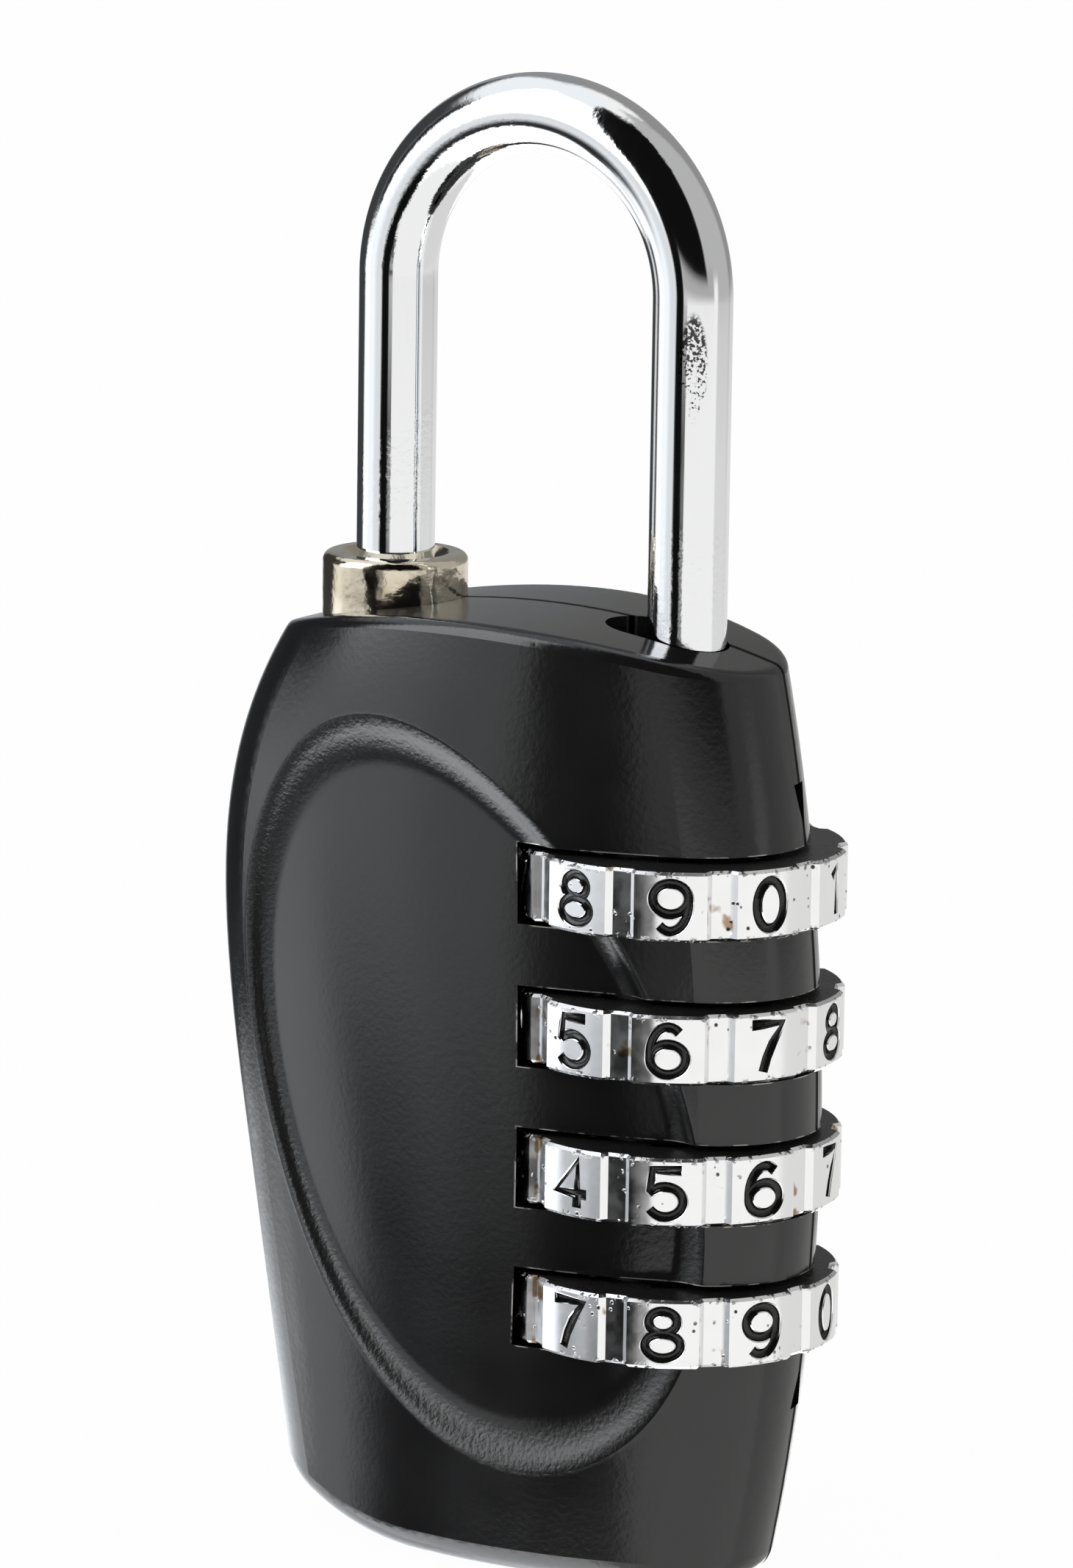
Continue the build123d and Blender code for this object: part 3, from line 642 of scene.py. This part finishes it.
def front_y(x, z):
    """Depth of the case's crowned front, before the panel is sunk in it."""
    fall = WIDEST_Z - z
    turn = min(max(fall, 0), LEFT_LOWER_HEIGHT)
    slope = turn / math.sqrt(LEFT_LOWER_RADIUS**2 - turn**2)
    upper = arc_drop(min(fall, 0), LEFT_UPPER_RADIUS)
    left = CASE_LEFT - upper - arc_drop(turn, LEFT_LOWER_RADIUS) - slope * max(fall - turn, 0)
    right = CASE_RIGHT - arc_drop(z - RIGHT_BELLY_Z, RIGHT_SIDE_RADIUS)
    half = (left + right) / 2
    deep = CASE_HALF_DEPTH - arc_drop(z - CASE_HEIGHT / 2, BARREL_RADIUS)
    face_radius = (half**2 + deep**2 - 2 * half * END_RADIUS) / (2 * (deep - END_RADIUS))
    return -deep + arc_drop(x - MID_X - (right - left) / 2, face_radius)


def panel_point(place, depth):
    """Point at a depth under the case's front; the place counts across and along the tilted oval."""
    x = MID_X + PANEL_SHIFT + place.x * math.cos(PANEL_TILT) - place.y * math.sin(PANEL_TILT)
    z = PANEL_Z + place.x * math.sin(PANEL_TILT) + place.y * math.cos(PANEL_TILT)
    return Vector((x, front_y(x, z) + depth, z))


def cove_depth(width, outward):
    """Depth of the cove at a distance from the floor: hollow at first, then rounded over to the rim."""
    if outward > width:
        return -RIM_SLOPE * (outward - width)
    round_width = RIM_ROUND * width
    hollow_width = width - round_width
    bend = (PANEL_DEPTH - round_width * RIM_SLOPE / 2) / (hollow_width * width)
    steep = 2 * bend * hollow_width
    rounded = max(outward - hollow_width, 0)
    depth = PANEL_DEPTH - bend * min(outward, hollow_width) ** 2 - steep * rounded
    return depth + (steep - RIM_SLOPE) / round_width * rounded**2 / 2


def panel_cutter(material):
    """What is taken out for the panel: a floor that follows the front, and the cove round it."""
    spokes = []
    for i in range(PANEL_SEGMENTS):
        angle = math.tau * i / PANEL_SEGMENTS
        cosine, sine = math.cos(angle), math.sin(angle)
        floor = Vector((FLOOR_HALF_WIDTH * cosine, FLOOR_HALF_LENGTH * sine))
        rim = Vector((RIM_HALF_WIDTH * cosine, RIM_HALF_LENGTH * sine))
        spokes.append((floor, rim - floor))
    rings = []
    for i in range(1, FLOOR_RINGS + 1):
        rings.append([panel_point(floor * (i / FLOOR_RINGS), PANEL_DEPTH) for floor, _ in spokes])
    for i in range(1, COVE_RINGS + 1):
        share = COVE_REACH * i / COVE_RINGS
        ring = []
        for floor, cove in spokes:
            ring.append(panel_point(floor + cove * share, cove_depth(cove.length, cove.length * share)))
        rings.append(ring)
    rings.append([Vector((point.x, PANEL_CLEAR_Y, point.z)) for point in rings[-1]])
    mesh = ring_mesh("panel_cutter", rings)
    shape = bmesh.new()
    shape.from_mesh(mesh)
    bmesh.ops.recalc_face_normals(shape, faces=shape.faces)
    shape.to_mesh(mesh)
    shape.free()
    return new_piece("panel_cutter", mesh, material)


def panelled_shell(material):
    """The front shell, closed up to the rear one, with the hollow cove of its panel drawn finely."""
    piece = new_piece("panelled_shell", NODES["front_shell"].data.copy(), material)
    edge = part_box("front_shell")[1].y
    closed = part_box("rear_shell")[0].y - SEAM_LEFT_OPEN
    for vertex in piece.data.vertices:
        if abs(vertex.co.y - edge) < NEAR:
            vertex.co.y = closed
    cut(piece, panel_cutter(material))
    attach(piece, "case")
    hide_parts("front_shell")


def numbered_dial(node, metal, enamel):
    """A dial with its ten numerals sunk in the pads and filled with enamel."""
    axis = Vector(JOINTS[node + "_turn"]["pos_m"])
    piece = new_piece(node + "_numbered", NODES[node].data.copy(), metal)
    cut(piece, stroke_tubes(node + "_lip", node, axis, LIP_RADIUS, LIP_RISE, metal))
    cut(piece, stroke_tubes(node + "_groove", node, axis, GROOVE_RADIUS, -GROOVE_SINK, enamel))
    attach(piece, node)
    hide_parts(node)


def coat(node, material):
    """Gives a CAD node its material."""
    slots = NODES[node].material_slots
    for slot in slots:
        slot.material = material
    if not slots:
        NODES[node].data.materials.append(material)


def globe_point(bearing, elevation):
    """Point of the studio globe; bearing counts to the right of the camera's own direction."""
    turn = VIEW_AZIMUTH + math.radians(bearing)
    rise = math.radians(elevation)
    level = math.cos(rise)
    return GLOBE_CENTRE + GLOBE_RADIUS * Vector(
        (level * math.sin(turn), -level * math.cos(turn), math.sin(rise))
    )


def smooth_share(value, low, high):
    """How far a value is from low to high, from 0 to 1, with soft ends."""
    share = min(max((value - low) / (high - low), 0), 1)
    return share * share * (3 - 2 * share)


def studio_glow(bearing, elevation):
    """Colour of the globe in one direction, patch over patch, cooler on the left."""
    level = GLOBE_LEVEL
    for bearings, elevations, patch_level, fade in PATCHES.values():
        middle = sum(bearings) / 2
        aside = abs((bearing - middle + 180) % 360 - 180)
        half = (bearings[1] - bearings[0]) / 2
        inside = min(half - aside, elevation - elevations[0], elevations[1] - elevation)
        level += (patch_level - level) * smooth_share(inside, -fade, fade)
    signed = (bearing + 180) % 360 - 180
    tint = WARM_TINT.lerp(COOL_TINT, 1 - smooth_share(signed, COOL_BEARING, WARM_BEARING))
    return (*(level * tint), 1)


def make_globe():
    """The studio as mirrors see it: lit and dark patches with soft edges."""
    bearings = range(0, 360, GLOBE_STEP)
    rings, colours = [], []
    for elevation in range(-90 + GLOBE_STEP, 90, GLOBE_STEP):
        rings.append([globe_point(bearing, elevation) for bearing in bearings])
        for bearing in bearings:
            colours.extend(studio_glow(bearing, elevation))
    mesh = ring_mesh("globe", rings)
    glows = mesh.attributes.new("glow", "FLOAT_COLOR", "POINT")
    glows.data.foreach_set("color", colours)
    material = bpy.data.materials.new("globe")
    material.use_nodes = True
    tree = material.node_tree
    tree.nodes.remove(tree.nodes["Principled BSDF"])
    glow = tree.nodes.new("ShaderNodeEmission")
    colour = tree.nodes.new("ShaderNodeAttribute")
    colour.attribute_name = "glow"
    tree.links.new(colour.outputs["Color"], glow.inputs["Color"])
    tree.links.new(glow.outputs[0], tree.nodes["Material Output"].inputs["Surface"])
    globe = new_piece("globe", mesh, material)
    globe.visible_camera = False
    globe.visible_diffuse = False
    globe.visible_shadow = False
    globe.visible_transmission = False


def background_rays(tree):
    """One for rays that show the background: the camera's, mirror reflections and refractions."""
    path = tree.nodes.new("ShaderNodeLightPath")
    total = path.outputs["Is Camera Ray"]
    for kind in ("Is Glossy Ray", "Is Transmission Ray"):
        either = tree.nodes.new("ShaderNodeMath")
        either.operation = "MAXIMUM"
        tree.links.new(total, either.inputs[0])
        tree.links.new(path.outputs[kind], either.inputs[1])
        total = either.outputs[0]
    return total


def make_floor():
    """Pale floor that the camera sees as white, with a faint shadow left on it."""
    half = FLOOR_SIZE / 2
    mesh = bpy.data.meshes.new("floor")
    corners = [(-half, -half, 0), (half, -half, 0), (half, half, 0), (-half, half, 0)]
    mesh.from_pydata(corners, [], [(0, 1, 2, 3)])
    material = bpy.data.materials.new("floor")
    material.use_nodes = True
    tree = material.node_tree
    surface = tree.nodes["Principled BSDF"]
    surface.inputs["Base Color"].default_value = FLOOR_COLOUR
    surface.inputs["Roughness"].default_value = FLOOR_ROUGHNESS
    glow = tree.nodes.new("ShaderNodeEmission")
    mix = tree.nodes.new("ShaderNodeMixShader")
    share = tree.nodes.new("ShaderNodeMath")
    share.operation = "MULTIPLY"
    share.inputs[1].default_value = FLOOR_GLOW
    tree.links.new(background_rays(tree), share.inputs[0])
    tree.links.new(share.outputs[0], mix.inputs["Fac"])
    tree.links.new(surface.outputs[0], mix.inputs[1])
    tree.links.new(glow.outputs[0], mix.inputs[2])
    tree.links.new(mix.outputs[0], tree.nodes["Material Output"].inputs["Surface"])
    floor = new_piece("floor", mesh, material)
    floor.visible_glossy = False


def make_world():
    """White where it is seen, a plain level where it lights."""
    world = bpy.data.worlds.new("studio")
    bpy.context.scene.world = world
    world.use_nodes = True
    tree = world.node_tree
    sky = tree.nodes["Background"]
    sky.inputs["Color"].default_value = (1, 1, 1, 1)
    level = tree.nodes.new("ShaderNodeMapRange")
    level.inputs["To Min"].default_value = SKY_LEVEL
    tree.links.new(background_rays(tree), level.inputs["Value"])
    tree.links.new(level.outputs[0], sky.inputs["Strength"])


def make_key_lamp():
    lamp = bpy.data.lights.new("key", "AREA")
    lamp.energy = KEY_POWER
    lamp.size = KEY_SIZE
    key = bpy.data.objects.new("key", lamp)
    key.location = KEY_PLACE
    key.rotation_euler = (GLOBE_CENTRE - KEY_PLACE).to_track_quat("-Z", "Y").to_euler()
    key.visible_glossy = False
    bpy.context.scene.collection.objects.link(key)


def make_camera():
    azimuth, elevation = VIEW_AZIMUTH, VIEW_ELEVATION
    right = Vector((math.cos(azimuth), math.sin(azimuth), 0))
    level = math.cos(elevation)
    back = Vector((level * math.sin(azimuth), -level * math.cos(azimuth), math.sin(elevation)))
    up = back.cross(right)
    rolled_right = right * math.cos(VIEW_ROLL) + up * math.sin(VIEW_ROLL)
    rolled_up = up * math.cos(VIEW_ROLL) - right * math.sin(VIEW_ROLL)
    data = bpy.data.cameras.new("camera")
    data.sensor_width = SENSOR
    data.lens = SENSOR * FOCAL_PIXELS / PHOTO_HEIGHT
    data.clip_start = CLIP_START
    camera = bpy.data.objects.new("camera", data)
    turn = Matrix((rolled_right, rolled_up, back)).transposed().to_4x4()
    target = Vector((MID_X + VIEW_TARGET_SIDE, 0, VIEW_TARGET_HEIGHT))
    camera.matrix_world = Matrix.Translation(target + back * VIEW_DISTANCE) @ turn
    bpy.context.scene.collection.objects.link(camera)
    bpy.context.scene.camera = camera


black = paint()
plated = dial_chrome()
enamel = digit_paint()
dark = turned_metal("black_steel", BLACK_STEEL, 0.3)
steel = turned_metal("plain_steel", PLAIN_STEEL, 0.28)
panelled_shell(black)
coat("rear_shell", black)
polished_shackle(chrome())
coat("toe_collar", nickel())
for node in SHOWN_DIGITS:
    numbered_dial(node, plated, enamel)
    coat(node.replace("dial", "sleeve"), dark)
for node in ("fin_comb", "spindle_clip", "thrust_washer", "reset_spring", "detent_spring", "case_pins"):
    coat(node, steel)

make_globe()
make_floor()
make_world()
make_key_lamp()
make_camera()
bpy.context.scene.view_settings.view_transform = "Standard"
